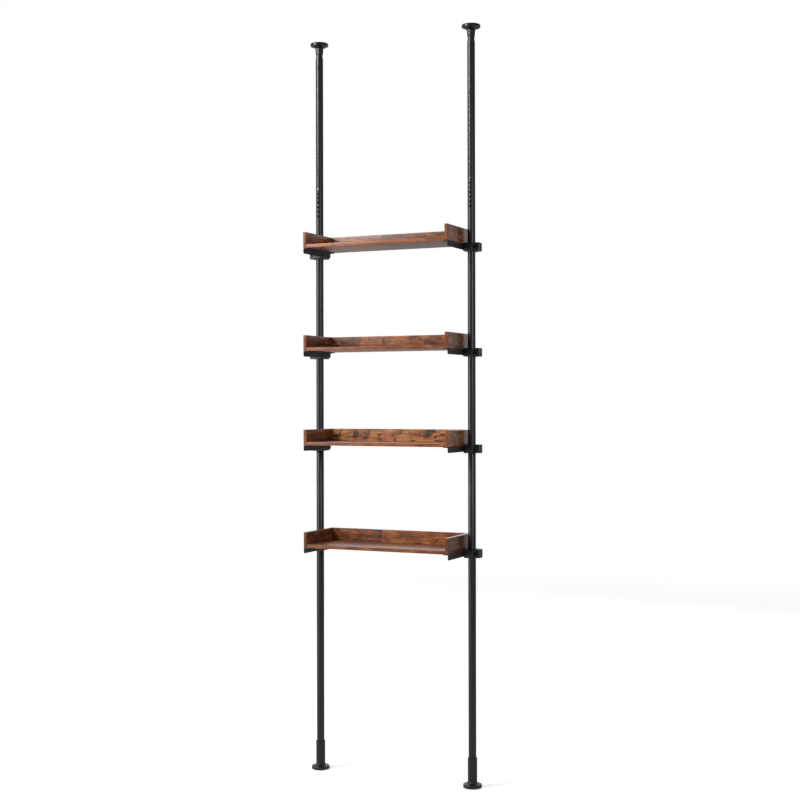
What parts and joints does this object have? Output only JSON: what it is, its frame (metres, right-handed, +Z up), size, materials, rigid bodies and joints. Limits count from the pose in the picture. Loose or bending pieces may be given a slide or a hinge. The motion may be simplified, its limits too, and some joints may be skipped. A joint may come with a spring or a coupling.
{
  "type": "over-the-toilet shelf",
  "caption": "Floor-to-ceiling tension-pole rack with tray shelves of rustic brown board clamped between black telescoping steel poles, for the space over a toilet.",
  "frame": {"origin": "on the floor, midway between the poles and at mid depth of the shelves", "axes": "+Z up along the poles, -Y towards the front of the shelves, +X to the right seen from the front"},
  "size_m": [0.607, 0.188, 2.4238],
  "materials": {
    "powder_coat": "black powder coat, satin",
    "nylon": "black moulded nylon, fine grained",
    "rubber": "black rubber, matt",
    "zinc": "zinc-plated steel",
    "spring_steel": "bare spring steel",
    "board": "rustic brown wood-grain laminate, satin, with banded edges"
  },
  "bodies": {
    "poles": {"left_floor_pad": "rubber", "left_foot_cup": "nylon", "left_lower_tube": "powder_coat", "left_tube_coupler": "zinc", "left_upper_tube": "powder_coat", "right_floor_pad": "rubber", "right_foot_cup": "nylon", "right_lower_tube": "powder_coat", "right_tube_coupler": "zinc", "right_upper_tube": "powder_coat"},
    "left_inner_pole": {"left_inner_tube": "powder_coat", "left_stem_guide": "nylon", "left_button_spring": "spring_steel"},
    "right_inner_pole": {"right_inner_tube": "powder_coat", "right_stem_guide": "nylon", "right_button_spring": "spring_steel"},
    "left_button": {"left_lock_button": "zinc"},
    "right_button": {"right_lock_button": "zinc"},
    "left_nut": {"left_tension_nut": "nylon"},
    "right_nut": {"right_tension_nut": "nylon"},
    "left_jack": {"left_jack_stem": "zinc", "left_ceiling_cup": "nylon", "left_ceiling_pad": "rubber"},
    "right_jack": {"right_jack_stem": "zinc", "right_ceiling_cup": "nylon", "right_ceiling_pad": "rubber"},
    "bottom_shelf": {"bottom_shelf_deck": "board", "bottom_shelf_left_panel": "board", "bottom_shelf_right_panel": "board", "bottom_shelf_back_panel": "board", "bottom_shelf_left_bracket": "powder_coat", "bottom_shelf_right_bracket": "powder_coat", "bottom_shelf_left_clamp": "nylon", "bottom_shelf_right_clamp": "nylon"},
    "lower_shelf": {"lower_shelf_deck": "board", "lower_shelf_left_panel": "board", "lower_shelf_right_panel": "board", "lower_shelf_back_panel": "board", "lower_shelf_left_bracket": "powder_coat", "lower_shelf_right_bracket": "powder_coat", "lower_shelf_left_clamp": "nylon", "lower_shelf_right_clamp": "nylon"},
    "upper_shelf": {"upper_shelf_deck": "board", "upper_shelf_left_panel": "board", "upper_shelf_right_panel": "board", "upper_shelf_back_panel": "board", "upper_shelf_left_bracket": "powder_coat", "upper_shelf_right_bracket": "powder_coat", "upper_shelf_left_clamp": "nylon", "upper_shelf_right_clamp": "nylon"},
    "top_shelf": {"top_shelf_deck": "board", "top_shelf_left_panel": "board", "top_shelf_right_panel": "board", "top_shelf_back_panel": "board", "top_shelf_left_bracket": "powder_coat", "top_shelf_right_bracket": "powder_coat", "top_shelf_left_clamp": "nylon", "top_shelf_right_clamp": "nylon"}
  },
  "joints": [
    {"name": "left_inner_pole_slide", "type": "slide", "parent": "poles", "child": "left_inner_pole", "axis": [0, 0, 1], "range_m": [0, 0.27]},
    {"name": "right_inner_pole_slide", "type": "slide", "parent": "poles", "child": "right_inner_pole", "axis": [0, 0, 1], "range_m": [0, 0.27]},
    {"name": "left_button_press", "type": "slide", "parent": "left_inner_pole", "child": "left_button", "axis": [0, 1, 0], "range_m": [0, 0.002], "stiffness_N_per_m": 600, "springref_m": -0.004, "deforming": ["left_button_spring"]},
    {"name": "right_button_press", "type": "slide", "parent": "right_inner_pole", "child": "right_button", "axis": [0, 1, 0], "range_m": [0, 0.002], "stiffness_N_per_m": 600, "springref_m": -0.004, "deforming": ["right_button_spring"]},
    {"name": "left_nut_turn", "type": "hinge", "parent": "left_inner_pole", "child": "left_nut", "pos_m": [-0.273, 0.056, 2.3965], "axis": [0, 0, -1], "range_deg": [0, 2160]},
    {"name": "right_nut_turn", "type": "hinge", "parent": "right_inner_pole", "child": "right_nut", "pos_m": [0.273, 0.056, 2.3965], "axis": [0, 0, -1], "range_deg": [0, 2160]},
    {"name": "left_jack_slide", "type": "slide", "parent": "left_inner_pole", "child": "left_jack", "axis": [0, 0, 1], "range_m": [0, 0.024]},
    {"name": "right_jack_slide", "type": "slide", "parent": "right_inner_pole", "child": "right_jack", "axis": [0, 0, 1], "range_m": [0, 0.024]},
    {"name": "bottom_shelf_slide", "type": "slide", "parent": "poles", "child": "bottom_shelf", "axis": [0, 0, 1], "range_m": [-0.5, 0.1]},
    {"name": "lower_shelf_slide", "type": "slide", "parent": "poles", "child": "lower_shelf", "axis": [0, 0, 1], "range_m": [-0.1, 0.1]},
    {"name": "upper_shelf_slide", "type": "slide", "parent": "poles", "child": "upper_shelf", "axis": [0, 0, 1], "range_m": [-0.1, 0.1]},
    {"name": "top_shelf_slide", "type": "slide", "parent": "poles", "child": "top_shelf", "axis": [0, 0, 1], "range_m": [-0.1, 0.15]}
  ],
  "couplings": [
    {"joint": "left_nut_turn", "follows": "left_jack_slide", "rad_per_m": 1570.8},
    {"joint": "right_nut_turn", "follows": "right_jack_slide", "rad_per_m": 1570.8}
  ]
}
